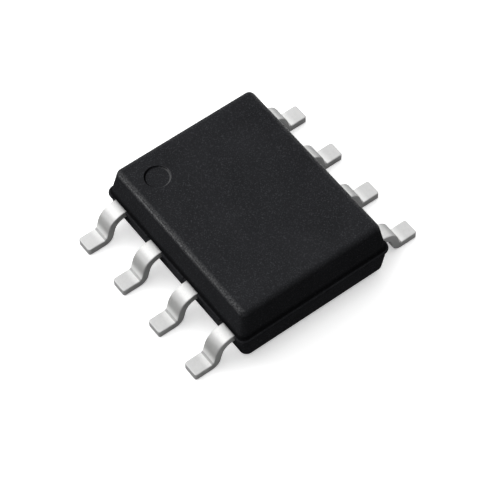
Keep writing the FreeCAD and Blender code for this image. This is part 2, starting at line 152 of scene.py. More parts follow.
class LeadSizes(bpy.types.PropertyGroup):
    """Sizes of a formed lead."""
    pitch: size("Pitch", "One lead to the next", lead_high.y - next_lead_high.y)
    span: size("Span", "Across the toes", -2 * lead_low.x)
    top: size("Top", "Feet to the top of the lead frame", lead_high.z)
    width: size("Width", "Width of a lead", 0.40 * MM)
    thickness: size("Thickness", "Thickness of the lead frame", 0.19 * MM)
    shoulder_reach: size("Shoulder reach", "Ledge to the crown bend", 0.01 * MM)
    crown_radius: size("Crown radius", "Inner radius of the crown bend", 0.28 * MM)
    instep_radius: size("Instep radius", "Inner radius above the foot", 0.06 * MM)
    slope: slant("Slope", "Slope between the bends, from level", 74.0)
    toe_corner_radius: size("Toe corner radius", "Corners of the toe in plan", 0.05 * MM)
    edge_radius: size("Edge radius", "Rolled long edges", 0.022 * MM)
    finger_tip: size("Finger tip", "Middle of the body to the finger", 1.25 * MM)
    head_length: size("Head length", "Bond head of a finger", 0.37 * MM)
    head_width: size("Head width", "Bond head of a finger", 0.50 * MM)
    head_pitch: size("Head pitch", "One bond head to the next", 1.12 * MM)
    neck: size("Neck", "Widening from lead to head", 0.12 * MM)
    notch_length: size("Notch length", "Notch that locks the finger", 0.12 * MM)
    notch_depth: size("Notch depth", "Notch that locks the finger", 0.10 * MM)
    notch_inset: size("Notch inset", "Finger's end to its notches", 0.19 * MM)


class ChipFinishes(bpy.types.PropertyGroup):
    """Colours and grain of the finishes. Tones are shares of the finish's colour."""
    epoxy: colour("Epoxy", "Matt black moulding compound", (0.0266, 0.0272, 0.0298))
    epoxy_grain: size("Epoxy grain", "Width of a grain of the moulded skin", 0.032 * MM)
    epoxy_relief: size("Epoxy relief", "Height of a grain of the moulded skin", 0.002 * MM)
    epoxy_tone: share("Epoxy tone", "Tone of the skin between its grains", 0.42)
    grain_tone: share("Grain tone", "Tone that the grains add", 0.3)
    filler_tone: share("Filler tone", "Tone that the pale grains of filler add", 1.0)
    cloud_tone: share("Cloud tone", "Tone that the broad clouds add", 0.4)
    # Painted shade in the bend of the seam above the lip.
    seam_shade: share("Seam shade", "Share of its tone that the seam above the lip loses", 0.7)
    # Painted shade on the side of the pin-1 mark's rim away from the lamps.
    rim_shade: share("Rim shade", "The same for the dark side of the pin-1 mark's rim", 0.9)
    # Painted light on the lower half, for the light that the floor returns to it.
    lower_floor_light: share("Lower gain", "Share of its tone that the lower half gains", 0.9)
    tin: colour("Tin", "Matt tin plating", (0.60, 0.60, 0.597))
    # Painted light on the tin from the body to the crown, which the body's wall would shade.
    tin_exit_lit: colour("Bright tin", "Plating from the body to the crown", (0.74, 0.74, 0.735))
    # Painted shade on the slope between the bends.
    tin_slope_shade: colour("Dull tin", "Plating that the forming rubbed dull", (0.35, 0.35, 0.345))
    # Colour of the painted highlights on the crown and beside the instep's crease.
    tin_highlight: colour("Polished tin", "Plating that the forming polished", (0.90, 0.90, 0.89))
    # Stamped sides are duller, and this colour also paints them darker as shade.
    tin_side_shade: colour("Stamped side", "Stamped side of a lead", (0.34, 0.34, 0.34))
    tin_grain: size("Tin grain", "Width of a crystal of the plating", 0.026 * MM)
    tin_relief: size("Tin relief", "Height of a crystal of the plating", 0.0015 * MM)
    tin_tone: share("Tin tone", "Tone of the plating between its crystals", 0.78)
    crystal_tone: share("Crystal tone", "Tone that the crystals add", 0.24)
    blotch_tone: share("Blotch tone", "Tone that the blotches add", 0.16)
    # Strength of the painted highlights beside the instep's crease.
    crease_highlight: share("Bend shine", "How polished the tin is beside the instep's crease", 0.6)
    # Strength of the painted highlight on the crown.
    crown_highlight: share("Crown shine", "How polished the tin is on the crown", 0.7)
    # Strength of the painted shade in the instep's crease.
    crease_shade: share("Crease shade", "How much of the instep's crease shows", 0.9)
    copper: colour("Copper", "Bare lead frame", (0.72, 0.36, 0.22))
    die_attach: colour("Die attach", "Silver-filled epoxy", (0.45, 0.45, 0.44))
    silicon: colour("Silicon", "Polished silicon", (0.16, 0.17, 0.20))
    gold: colour("Gold", "Bond wire", (0.86, 0.62, 0.22))


class StudioSettings(bpy.types.PropertyGroup):
    """Camera, lamps and floor."""
    azimuth: slant("Azimuth", "Camera, round the object", -35.540)
    elevation: slant("Elevation", "Camera, above the horizon", 56.697)
    roll: slant("Roll", "Camera, about its own axis", -1.465)
    distance: size("Distance", "Camera to its aim", 47.425 * MM)
    aim: point("Aim", "Point the camera looks at", -0.1285 * MM, 0.0997 * MM, 0.0042 * MM)
    lens: share("Lens", "Focal length in millimetres for a 36 mm sensor", 167.60)
    bright: share("Bright side", "Radiance of the bright side of the surroundings", 1.75)
    shade: share("Shaded side", "Radiance of the shaded side of the surroundings", 0.01)
    light_side: FloatVectorProperty(name="Light side", description="Towards the bright side",
                                    default=(0.0, 0.50, 0.86), size=3, subtype="XYZ")
    cove_height: share("Cove height", "Sine of the angle at which the white cove ends", 0.105)
    cove_fade: share("Cove fade", "Sine of the angle at which it has faded out", 0.13)
    top_light: share("Top light", "Radiance of the large lamp", 0.5)
    top_light_size: size("Top light size", "Edge of the large lamp", 11 * MM)
    top_light_place: point("Top light place", "Middle of the large lamp",
                           -10 * MM, 7.5 * MM, 11 * MM)
    edge_light: share("Edge light", "Radiance of the small low lamp", 16.0)
    edge_light_size: size("Edge light size", "Edge of the small low lamp", 3 * MM)
    edge_light_place: point("Edge light place", "Middle of the small low lamp",
                            -17 * MM, 9 * MM, 5 * MM)
    floor: colour("Floor", "Plain floor, as the camera sees it", (1.0, 1.0, 1.0))
    floor_bounce: colour("Floor bounce", "The floor for the light it returns to the object",
                         (0.10, 0.10, 0.10))
    floor_glow: share("Floor glow", "What lifts the floor to white for the camera", 0.47)
    floor_shine: share("Floor shine", "The same in reflections and through glass", 0.05)
    floor_size: size("Floor size", "Edge of the floor", 1.2)
    floor_drop: size("Floor drop", "Gap that keeps floor and feet apart", 0.002 * MM)


# Shader expressions

WHITE = (1, 1, 1, 1)

# A Mix node has sockets of one name for each kind of data, so its colours go by number.
COLOUR_A, COLOUR_B, COLOUR_OUT = 6, 7, 2


class Value:
    """A socket that can stand in a sum: each step of the sum adds its own Math node."""

    def __init__(self, finish, socket):
        self.finish = finish
        self.socket = socket

    def maths(self, operation, *terms):
        """The outcome of a new Math node."""
        return self.finish.node("ShaderNodeMath", {"operation": operation},
                                dict(enumerate(terms)))

    def __add__(self, other):
        return self.maths("ADD", self, other)

    def __radd__(self, other):
        return self.maths("ADD", other, self)

    def __sub__(self, other):
        return self.maths("SUBTRACT", self, other)

    def __rsub__(self, other):
        return self.maths("SUBTRACT", other, self)

    def __mul__(self, other):
        return self.maths("MULTIPLY", self, other)

    def __rmul__(self, other):
        return self.maths("MULTIPLY", other, self)

    def __truediv__(self, other):
        return self.maths("DIVIDE", self, other)

    def __abs__(self):
        return self.maths("ABSOLUTE", self)

    def clamped(self):
        """The value held between 0 and 1."""
        return self.maths("MAXIMUM", self.maths("MINIMUM", self, 1.0), 0.0)

    def rise(self, start, end):
        """A smooth step: 0 up to start, 1 from end on."""
        return self.finish.node("ShaderNodeMapRange", {"interpolation_type": "SMOOTHSTEP"},
                                {"Value": self, "From Min": start, "From Max": end,
                                 "To Min": 0.0, "To Max": 1.0})


class Finish:
    """A node tree that is written as expressions."""

    def __init__(self, tree):
        self.tree = tree
        self.tree.nodes.clear()

    def node(self, kind, settings=None, inputs=None, output=0):
        """Add a node: its settings come first, then the values or links of its sockets."""
        made = self.tree.nodes.new(kind)
        for name, value in (settings or {}).items():
            setattr(made, name, value)
        for name, value in (inputs or {}).items():
            if isinstance(value, Value):
                self.tree.links.new(value.socket, made.inputs[name])
            else:
                made.inputs[name].default_value = value
        return Value(self, made.outputs[output]) if made.outputs else None

    def noise(self, width, detail=2.0, roughness=0.5):
        """Cloudy noise whose spots are about as wide as the given length."""
        where = self.node("ShaderNodeTexCoord", output="Object")
        return self.node("ShaderNodeTexNoise", inputs={
            "Vector": where, "Scale": 1 / width, "Detail": detail, "Roughness": roughness})

    def attribute(self, name):
        """A number that a piece carries on its points."""
        return self.node("ShaderNodeAttribute", {"attribute_name": name}, output="Fac")

    def mix(self, factor, first, second):
        """Blend from the first colour to the second, as the factor goes from 0 to 1."""
        colours = [value if isinstance(value, Value) else (*value, 1.0)
                   for value in (first, second)]
        return self.node("ShaderNodeMix", {"data_type": "RGBA"},
                         {"Factor": factor, COLOUR_A: colours[0], COLOUR_B: colours[1]},
                         output=COLOUR_OUT)

    def toned(self, tint, tone):
        """A colour times a tone between 0 and 1."""
        return self.mix(tone, (0, 0, 0), tint)

    def bump(self, height, depth):
        """Relief from a height of 0 to 1 that stands for a depth in metres."""
        return self.node("ShaderNodeBump", inputs={"Height": height, "Distance": depth},
                         output="Normal")

    def surface(self, **sockets):
        """Join a Principled surface to the output."""
        names = {name.replace("_", " "): value for name, value in sockets.items()}
        shader = self.node("ShaderNodeBsdfPrincipled", inputs=names)
        self.finish_with(shader)

    def finish_with(self, shader):
        """Join any shader to the output."""
        self.node("ShaderNodeOutputMaterial", inputs={"Surface": shader})


def new_finish(name):
    """An empty node material and the tree to write it in."""
    material = bpy.data.materials.new(name)
    material.use_nodes = True
    return material, Finish(material.node_tree)


# Surfaces


def skin(name, rings, first_pole=None, last_pole=None, numbers=None):
    """Close a grid of rings into a mesh object.

    rings has one row for each ring and one column for each point round it. A face joins four
    neighbours; the last column joins the first. A pole closes the first or the last ring with
    a fan. Points that fall together are merged.
    """
    rows, columns = rings.shape[:2]
    here = np.arange(rows * columns).reshape(rows, columns)
    after = np.roll(here, -1, axis=1)
    faces = np.stack([here[:-1], after[:-1], after[1:], here[1:]], axis=2).reshape(-1, 4).tolist()
    points = rings.reshape(-1, 3).tolist()
    if first_pole is not None:
        pole = np.full(columns, len(points))
        faces += np.stack([pole, after[0], here[0]], axis=1).tolist()
        points.append(list(first_pole))
    if last_pole is not None:
        pole = np.full(columns, len(points))
        faces += np.stack([here[-1], after[-1], pole], axis=1).tolist()
        points.append(list(last_pole))
    mesh = bpy.data.meshes.new(name)
    mesh.from_pydata(points, [], faces)
    for label, values in (numbers or {}).items():
        layer = mesh.attributes.new(label, "FLOAT", "POINT")
        known = np.zeros(len(points), np.float32)
        known[:rows * columns] = values.reshape(-1)
        layer.data.foreach_set("value", known)
    melt = bmesh.new()
    melt.from_mesh(mesh)
    bmesh.ops.remove_doubles(melt, verts=melt.verts, dist=MERGE)
    melt.to_mesh(mesh)
    melt.free()
    mesh.shade_smooth()
    piece = bpy.data.objects.new(name, mesh)
    bpy.context.scene.collection.objects.link(piece)
    return piece


def soften(stations, reach):
    """Turn each inner corner of a polyline into a small curve.

    A corner P between A and B, which lie one reach away on either side, or a third of the side
    where that is less, becomes the points A, A/4 + P/2 + B/4 and B. The distance is measured
    in the first and the last channel, which hold the half width and the height.
    """
    step = np.diff(stations, axis=0)
    long = np.hypot(step[:, 0], step[:, -1])[:, None]
    unit = step / long
    near = np.minimum(reach, long / 3)
    before = stations[1:-1] - unit[:-1] * near[:-1]
    behind = stations[1:-1] + unit[1:] * near[1:]
    middle = before / 4 + stations[1:-1] / 2 + behind / 4
    corners = np.stack([before, middle, behind], axis=1).reshape(-1, stations.shape[1])
    return np.vstack([stations[:1], corners, stations[-1:]])


def rounded_columns(side_shares, end_shares, corner_steps):
    """Columns round a rounded rectangle, anticlockwise from the lower end of its right side.

    A point of the outline is a point of the skeleton rectangle, whose half sizes are those of
    the outline less the corner radius, plus the radius along the outward normal. A column
    holds its skeleton point as shares of those half sizes, and its normal. The four sides and
    corners are one side and corner, turned by quarters.
    """
    arc = np.linspace(0, math.pi / 2, corner_steps + 1)[1:-1]
    skeleton, normal = [], []
    for quarter in range(4):
        shares = side_shares if quarter % 2 == 0 else end_shares
        turn = quarter * math.pi / 2
        spin = np.array([[math.cos(turn), math.sin(turn)], [-math.sin(turn), math.cos(turn)]])
        side = np.stack([np.ones_like(shares), shares], axis=1)
        corner = np.ones((len(arc), 2))
        skeleton.append(np.vstack([side, corner]) @ spin)
        facing = np.concatenate([np.zeros_like(shares), arc]) + turn
        normal.append(np.stack([np.cos(facing), np.sin(facing)], axis=1))
    return np.vstack(skeleton), np.vstack(normal)


def outline_rings(columns, stations):
    """One ring for each station of half width, half length, corner radius and height."""
    skeleton, normal = columns
    half_x, half_y, radius, height = (channel[:, None] for channel in stations.T)
    x = skeleton[:, 0] * (half_x - radius) + normal[:, 0] * radius
    y = skeleton[:, 1] * (half_y - radius) + normal[:, 1] * radius
    return np.stack([x, y, np.broadcast_to(height, x.shape)], axis=2)


def round_edge(radius, draft, angles):
    """The round between a level face and a drafted wall.

    Its middle lies radius below the face, and radius * tan(45 deg - draft / 2) inside the point
    where wall and face would meet. Returns inset and drop for each angle of the normal.
    """
    inset = radius * math.tan(math.pi / 4 - draft / 2) - radius * np.cos(angles)
    return inset, radius - radius * np.sin(angles)


def recess_rings(outline, centre, radius, face, depth, edge):
    """Rings of a round recess, from its rim to its floor, on the spokes that join its centre to
    the points of an outline.

    The wall is upright between two quarter rounds: the rim's round has its middle one edge
    outside the wall, the floor's round one edge inside. A level ring leads in to the rim, and
    three more lie on the floor. depth is signed along Z.
    """
    spokes = outline[:, :2] - centre
    spokes /= np.linalg.norm(spokes, axis=1)[:, None]
    quarter = np.linspace(0, math.pi / 2, RECESS_POINTS)
    rim = np.stack([radius + edge * (1 - np.sin(quarter)), edge * (1 - np.cos(quarter))], axis=1)
    floor = np.stack([radius - edge * (1 - np.cos(quarter)),
                      abs(depth) - edge * (1 - np.sin(quarter))], axis=1)
    lead_in = radius + 1.3 * edge
    level_rings = [radius - 2 * edge, radius - 2.4 * edge, radius / 8]
    flat = [[ring, abs(depth)] for ring in level_rings]
    reach, drop = np.vstack([[[lead_in, 0]], rim, floor, flat]).T
    plan = centre + reach[:, None, None] * spokes
    height = np.broadcast_to((face + math.copysign(1, depth) * drop)[:, None], plan.shape[:2])
    return np.concatenate([plan, height[..., None]], axis=2)


def lead_steps():
    """Place of each lead along its side, in pitches from the middle."""
    return (LEADS_PER_SIDE - 1) / 2 - np.arange(LEADS_PER_SIDE)


def side_shares(moulding, leads):
    """Shares of the skeleton's half length at which a long side has columns, and a test for the
    columns that lie in a lead's window.

    A close pair of columns stands at each edge of a window, and the even ones keep clear of it.
    """
    straight = moulding.length / 2 - moulding.corner_radius
    reach = leads.width / 2 + moulding.window_gap
    middles = lead_steps()[::-1] * leads.pitch
    slit = moulding.crisp_edge / 8
    edges = np.concatenate([middles + side * reach + step
                            for side in (-1, 1) for step in (-slit, slit)])
    evenly = np.linspace(-straight, straight, SIDE_POINTS)
    clear = np.abs(evenly[:, None] - edges).min(axis=1) > moulding.crisp_edge / 2
    along = np.sort(np.concatenate([evenly[clear], edges]))
    in_window = (np.abs(along[:, None] - middles) < reach).any(axis=1)
    return along / straight, in_window


def moulding_stations(moulding, leads):
    """The moulding's section from the underside's edge to the top's edge.

    Each station holds half width, half length, corner radius, half width and height inside a
    window, and height. Walls are straight lines between stations; their slope is tan(draft).
    The upper wall has one station more, a little above the lip, where the finish of the seam
    has faded out.
    """
    parting = leads.top
    half_x, half_y = moulding.width / 2, moulding.length / 2
    lower_radius = moulding.corner_radius - moulding.ledge
    wall_radius = moulding.corner_radius - moulding.lip_width

    def lower(height):
        """Half sizes of the lower half at a height."""
        drop = parting - height
        return (half_x - moulding.ledge - drop * math.tan(moulding.lower_side_draft),
                half_y - moulding.ledge - drop * math.tan(moulding.lower_end_draft))

    def upper(height):
        """Half sizes of the upper half at a height."""
        rise = height - parting
        return (half_x - moulding.lip_width - rise * math.tan(moulding.upper_side_draft),
                half_y - moulding.lip_width - rise * math.tan(moulding.upper_end_draft))

    def rounded(wall, face, radius, drafts, corner, down):
        """Stations from a level face out over its round edge; down is 1 on top, -1 below."""
        angles = np.linspace(math.pi / 2, max(drafts), ROUND_POINTS)
        side_in, drop = round_edge(radius, drafts[0], angles)
        end_in, drop = round_edge(radius, drafts[1], angles)
        height = face - down * drop
        across, along = wall(face)
        kept = corner - (np.array([wall(level)[0] for level in height]) - across + side_in)
        x = across - side_in
        return np.stack([x, along - end_in, kept, x, height, height], axis=1)

    bottom = rounded(lower, moulding.standoff, moulding.bottom_edge_radius,
                     (moulding.lower_side_draft, moulding.lower_end_draft), lower_radius, -1)
    top = rounded(upper, moulding.top_height, moulding.top_edge_radius,
                  (moulding.upper_side_draft, moulding.upper_end_draft), wall_radius, 1)[::-1]

    lip_top = parting + moulding.lip_height
    wall_foot = lip_top + moulding.flare_height
    window_top = parting + moulding.window_gap
    window_floor = parting - moulding.crisp_edge
    deep = half_x - moulding.lip_width - moulding.ledge / 2
    foot_x, foot_y = upper(wall_foot)
    part = (window_top - lip_top) / moulding.flare_height
    flare_x = half_x + (foot_x - half_x) * part
    flare_y = half_y + (foot_y - half_y) * part
    flare_radius = moulding.corner_radius - moulding.lip_width * part
    below = window_top - moulding.crisp_edge / 4
    ledge_x, ledge_y = lower(parting)
    lip = np.array([
        bottom[-1],
        (ledge_x, ledge_y, lower_radius, ledge_x, window_floor, parting),
        (half_x, half_y, moulding.corner_radius, deep, window_floor, parting),
        (half_x, half_y, moulding.corner_radius, deep, lip_top, lip_top),
        (flare_x, flare_y, flare_radius, deep, below, below),
        (flare_x, flare_y, flare_radius, flare_x, window_top, window_top),
        (foot_x, foot_y, wall_radius, foot_x, wall_foot, wall_foot),
        top[0],
    ])
    seam_top = wall_foot + 2 * moulding.flare_height
    seam_x, seam_y = upper(seam_top)
    above = (seam_x, seam_y, wall_radius, seam_x, seam_top, seam_top)
    return np.vstack([bottom[:-1], soften(lip, moulding.crisp_edge)[:-1], above, top])


def drawn_in(station, reach):
    """The same station a little further in, so that a round runs out on the flat face."""
    return station - np.array([reach, reach, reach, reach, 0, 0])


def mould(moulding, leads):
    """The moulding's skin, as one grid of rings from the middle of the ejector mark, out over
    the underside, up the walls and in over the top to the middle of the pin-1 mark.

    Its points carry four numbers for the finish. worn is a sine over the round top edge, times
    how far a point faces a long side, or a part of how far it faces the end with the mark. ring
    is the cosine between the side that faces the lamps and the way out from the middle of the
    pin-1 mark, on the mark's rim: where it is above 0 the rim gets the clear coat, below 0
    painted shade. seam is 1 in the bend above the lip, which gets painted shade, and lower is 1
    below the parting line, which gets painted light for the light that the floor returns.
    """
    shares, in_window = side_shares(moulding, leads)
    end_shares = np.linspace(-1, 1, END_POINTS)
    columns = rounded_columns(shares, end_shares, CORNER_STEPS)
    window = np.zeros(len(columns[0]), bool)
    window[:len(shares)] = in_window
    far_side = len(shares) + len(end_shares) + 2 * (CORNER_STEPS - 1)
    window[far_side:far_side + len(shares)] = in_window

    stations = moulding_stations(moulding, leads)
    stations = np.vstack([drawn_in(stations[0], moulding.crisp_edge / 2), stations,
                          drawn_in(stations[-1], moulding.crisp_edge / 2)])
    rings = outline_rings(columns, stations[:, [0, 1, 2, 5]])
    inside = outline_rings(columns, stations[:, [3, 1, 2, 4]])
    rings[:, window] = inside[:, window]

    mark = np.array([moulding.mark_inset_side - moulding.width / 2,
                     moulding.length / 2 - moulding.mark_inset_end])
    top = recess_rings(rings[-1], mark, moulding.mark_diameter / 2, moulding.top_height,
                       -moulding.mark_depth, moulding.mark_edge)
    under = recess_rings(rings[0], np.zeros(2), moulding.ejector_diameter / 2,
                         moulding.standoff, moulding.ejector_depth, moulding.crisp_edge)[::-1]
    grid = np.concatenate([under, rings, top])

    worn, ring = np.zeros(grid.shape[:2]), np.zeros(grid.shape[:2])
    face_x, face_y = columns[1].T
    top_start = len(under) + len(rings)
    # The round edge ends one ring before the recess, because that ring is drawn in.
    top_edge = slice(top_start - 1 - ROUND_POINTS, top_start - 1)
    arc = np.sin(np.linspace(0, math.pi, ROUND_POINTS))
    worn[top_edge] = arc[:, None] * np.maximum(abs(face_x), END_WEAR * face_y)
    # From the second ring of the rim's round to the first level ring of the recess's floor.
    rim = slice(top_start + 2, -2)
    outward = grid[rim, :, :2] - mark
    outward /= np.linalg.norm(outward, axis=2, keepdims=True)
    # Above 0 the rim gets the clear coat, below 0 painted shade.
    ring[rim] = outward @ MARK_LIT_SIDE
    height = grid[..., 2]
    wall_foot = leads.top + moulding.lip_height + moulding.flare_height
    # Painted shade in the bend above the lip.
    seam = ((height > wall_foot - moulding.flare_height / 2)
            & (height < wall_foot + moulding.crisp_edge))
    # Painted light below the parting line, for the light that the floor returns.
    lower = height < leads.top + moulding.crisp_edge
    numbers = {"worn": worn, "ring": ring, "seam": seam, "lower": lower}
    return skin("moulding", grid, (0, 0, moulding.standoff + moulding.ejector_depth),
                (*mark, moulding.top_height - moulding.mark_depth), numbers)


def bend_marks(leads, shoulder):
    """Runs along the flat strip at which the crown, the slope, the instep and the foot start."""
    crown, instep, straight = gull_wing(leads)
    return np.cumsum([shoulder - leads.finger_tip, crown * leads.slope, straight,
                      instep * leads.slope])


def gull_wing(leads):
    """Radii of the crown and the instep at a lead's middle line, and the length of its slope.

    The middle line runs level from the finger's end, turns down on the crown's radius, runs
    straight, and turns level again on the instep's radius. The straight part makes up the drop
    that the two bends leave: drop = (R1 + R2) (1 - cos slope) + L sin slope.
    """
    crown = leads.crown_radius + leads.thickness / 2
    instep = leads.instep_radius + leads.thickness / 2
    drop = leads.top - leads.thickness
    straight = (drop - (crown + instep) * (1 - math.cos(leads.slope))) / math.sin(leads.slope)
    return crown, instep, straight


def bend(leads, shoulder, flat):
    """Carry points of the flat strip along the gull wing.

    flat holds, for each point, its run along the strip, its place across it and its lift out of
    the middle surface. The point lands at the middle line's point for that run plus the lift
    along the line's normal, which leans by the angle turned so far. The crown starts at the
    shoulder.
    """
    crown, instep, straight = gull_wing(leads)
    run, across, lift = flat[..., 0], flat[..., 1], flat[..., 2]
    start = shoulder - leads.finger_tip
    first = np.clip((run - start) / crown, 0, leads.slope)
    down = np.clip(run - start - crown * leads.slope, 0, straight)
    second = np.clip((run - start - crown * leads.slope - straight) / instep, 0, leads.slope)
    foot = np.maximum(run - start - (crown + instep) * leads.slope - straight, 0)
    lean = first - second
    x = (leads.finger_tip + np.minimum(run, start) + crown * np.sin(first)
         + down * math.cos(leads.slope)
         + instep * (math.sin(leads.slope) - np.sin(leads.slope - second)) + foot)
    z = (leads.top - leads.thickness / 2 - crown * (1 - np.cos(first))
         - down * math.sin(leads.slope)
         - instep * (np.cos(leads.slope - second) - math.cos(leads.slope)))
    return np.stack([x + lift * np.sin(lean), across, z + lift * np.cos(lean)], axis=-1)


def strip_plan(leads, shoulder, shift):
    """Plan of the flat strip: its outline, anticlockwise from the neck, and for each point of it
    the nearest point of the strip's middle line.

    Long sides have close points in the bends. The toe's corners are quarter circles, and the
    finger's head is a rectangle with a notch in each side, moved sideways by the shift.
    """
    crown, instep, straight = gull_wing(leads)
    marks = bend_marks(leads, shoulder)
    ankle = (shoulder + (crown + instep) * math.sin(leads.slope)
             + straight * math.cos(leads.slope))
    end = marks[-1] + leads.span / 2 - ankle
    half, corner = leads.width / 2, leads.toe_corner_radius
    stops = [leads.head_length + leads.neck, *marks, end - corner]
    runs = np.concatenate([
        np.linspace(start, stop, steps, endpoint=False)
        for start, stop, steps in zip(stops, stops[1:], RUN_STEPS)] + [stops[-1:]])
    arc = np.linspace(0, math.pi / 2, TOE_CORNER_STEPS + 1)[1:-1]
    near = np.stack([runs, np.full_like(runs, -half)], axis=1)
    toe_near = np.stack([end - corner + corner * np.sin(arc),
                         corner - half - corner * np.cos(arc)], axis=1)
    toe = np.stack([np.full(TOE_POINTS, end),
                    np.linspace(corner - half, half - corner, TOE_POINTS)], axis=1)
    outer = np.vstack([near, toe_near, toe, toe_near[::-1] * (1, -1), near[::-1] * (1, -1)])
    middle = np.stack([np.minimum(outer[:, 0], end - half / 2), np.zeros(len(outer))], axis=1)

    head = leads.head_width / 2
    notch_start, notch_end = leads.notch_inset, leads.notch_inset + leads.notch_length
    floor = head - leads.notch_depth
    head_side = np.array([(leads.head_length, head), (notch_end, head), (notch_end, floor),
                          (notch_start, floor), (notch_start, head), (0, head)])
    finger = np.vstack([head_side, head_side[::-1] * (1, -1)])
    spine = np.stack([np.maximum(finger[:, 0], head / 4), np.zeros(len(finger))], axis=1)
    sideways = np.array([0, shift])
    return np.vstack([outer, finger + sideways]), np.vstack([middle, spine + sideways])


def form_lead(leads, shoulder, shift):
    """A lead's skin, pointing along +X.

    The strip's plan is carried through its thickness: middle line of the top face, a level
    ring, quarter round, upright side, quarter round, level ring, middle line of the bottom
    face. A point of a quarter round is the outline drawn in by edge (1 - cos), at a lift of
    half thickness - edge (1 - sin). Drawing in follows the mitre of the two neighbouring
    edges. Then the strip is bent. Its points carry two numbers for the finish: run is the
    place along the flat strip in millimetres, and side goes from 0 on a face to 1 on a side.
    """
    outline, middle = strip_plan(leads, shoulder, shift)
    before = outline - np.roll(outline, 1, axis=0)
    behind = np.roll(outline, -1, axis=0) - outline
    sides = [np.stack([edge[:, 1], -edge[:, 0]], axis=1) / np.linalg.norm(edge, axis=1)[:, None]
             for edge in (before, behind)]
    mitre = (sides[0] + sides[1]) / (1 + (sides[0] * sides[1]).sum(axis=1))[:, None]

    edge, half = leads.edge_radius, leads.thickness / 2
    arc = np.linspace(math.pi / 2, 0, ROLL_POINTS)
    level_ring = 1.25 * edge
    drawn = np.concatenate([[level_ring], edge * (1 - np.cos(arc))])
    lift = np.concatenate([[half], half - edge * (1 - np.sin(arc))])
    drawn = np.concatenate([drawn, drawn[::-1]])
    lift = np.concatenate([lift, -lift[::-1]])
    plan = outline - drawn[:, None, None] * mitre
    plan = np.concatenate([middle[None], plan, middle[None]])
    lift = np.concatenate([[half], lift, [-half]])
    lift = np.broadcast_to(lift[:, None], plan.shape[:2])
    flat = np.concatenate([plan, lift[..., None]], axis=2)[::-1]
    side = np.clip((half - np.abs(flat[..., 2])) / edge, 0, 1)
    grid = bend(leads, shoulder, flat)
    return grid, {"run": flat[..., 0] / MM, "side": side}


# Finishes


def epoxy_finish(finishes):
    """Moulding compound: matt black, finely speckled with pale filler and broadly clouded.

    The seam above the lip and the side of the pin-1 mark's rim away from the lamps get painted
    shade, the lower half is paler with painted light for the light that the floor returns, and
    the worn edges and the rim's side that faces the lamps have a clear coat.
    """
    material, write = new_finish("moulding_epoxy")
    grain = write.noise(finishes.epoxy_grain, detail=3, roughness=0.6)
    filler = write.noise(0.7 * finishes.epoxy_grain, detail=1).rise(0.5, 0.8)
    cloud = write.noise(30 * finishes.epoxy_grain, detail=2)
    ring = write.attribute("ring")
    tone = (finishes.epoxy_tone + finishes.grain_tone * grain
            + finishes.filler_tone * filler + finishes.cloud_tone * cloud)
    # Painted shade on the side of the mark's rim away from the lamps and in the seam above the
    # lip.
    dark = ((1 - finishes.rim_shade * (-1 * ring).clamped())
            * (1 - finishes.seam_shade * write.attribute("seam")))
    # Painted light on the lower half, for the light that the floor returns.
    pale = 1 + finishes.lower_floor_light * write.attribute("lower")
    # Tones go up to this. A blend's factor stops at 1, so the tone is divided by it and the
    # colour multiplied.
    most = 4
    base = write.toned([most * channel for channel in finishes.epoxy], tone * dark * pale / most)
    worn = write.attribute("worn") * grain.rise(0.3, 0.7)
    write.surface(Base_Color=base, Roughness=0.6, Specular_IOR_Level=0.0,
                  Coat_Weight=(worn + ring).clamped(), Coat_Roughness=0.28,
                  Normal=write.bump(grain, finishes.epoxy_relief))
    return material


def tin_finish(finishes, marks):
    """Matt tin over copper: blotchy crystals on the faces, and dull stamped sides that are
    painted darker as shade.

    marks are the runs at which the crown, the slope, the instep and the foot start, and these
    and every length added to them are in millimetres. The exit is painted brighter as light, the
    crown has a painted highlight, the slope has painted shade, and the instep has a crease of
    painted shade with a painted highlight on both sides.
    """
    material, write = new_finish("tin_plating")
    crown, slope, instep, foot = marks
    fold = (instep + foot) / 2
    run = write.attribute("run")
    side = write.attribute("side").rise(0.35, 0.95)
    crystal = write.noise(finishes.tin_grain, detail=3, roughness=0.65)
    blotch = write.noise(4 * finishes.tin_grain, detail=2)

    def spot(middle, reach, full):
        """1 round the middle as far as a share of the reach, and 0 from the reach on."""
        return 1 - (abs(run - middle) / reach).rise(full, 1.0)

    def stretch(start, full, fading, end):
        """0 up to the start, 1 from full to fading, and 0 from the end on."""
        return run.rise(start, full) * (1 - run.rise(fading, end))

    # Painted light on the exit, from the body to the crown.
    exit_end = run.rise(crown, crown + 0.3)
    # Painted shade on the slope.
    dull = stretch(crown + 0.17, slope - 0.1, slope - 0.02, instep - 0.04)
    # Painted highlight on the crown.
    crown_glint = spot(crown + 0.14, reach=0.12, full=0.1)
    # Painted shade in the instep's crease.
    crease = spot(fold, reach=0.09, full=0.5)
    # Painted highlights on both sides of the instep's crease.
    crease_glints = (stretch(fold, foot, foot, foot + 0.16)
             + stretch(slope + 0.04, instep, instep, fold))
    painted_highlight = (finishes.crease_highlight * crease_glints + finishes.crown_highlight * crown_glint).clamped()
    rolled = write.mix(exit_end, finishes.tin_exit_lit, finishes.tin)
    rolled = write.mix(dull, rolled, finishes.tin_slope_shade)
    rolled = write.mix(painted_highlight, rolled, finishes.tin_highlight)
    rolled = write.mix(finishes.crease_shade * crease, rolled, finishes.tin_side_shade)
    tone = (finishes.tin_tone + finishes.crystal_tone * crystal
            + finishes.blotch_tone * blotch)
    # The stamped sides are duller and also painted darker as shade.
    base = write.mix(side, write.toned(rolled, tone.clamped()), finishes.tin_side_shade)
    rough = 0.38 + 0.12 * blotch + 0.1 * side
    write.surface(Base_Color=base, Metallic=0.4, Roughness=rough,
                  Normal=write.bump(crystal, finishes.tin_relief))
    return material


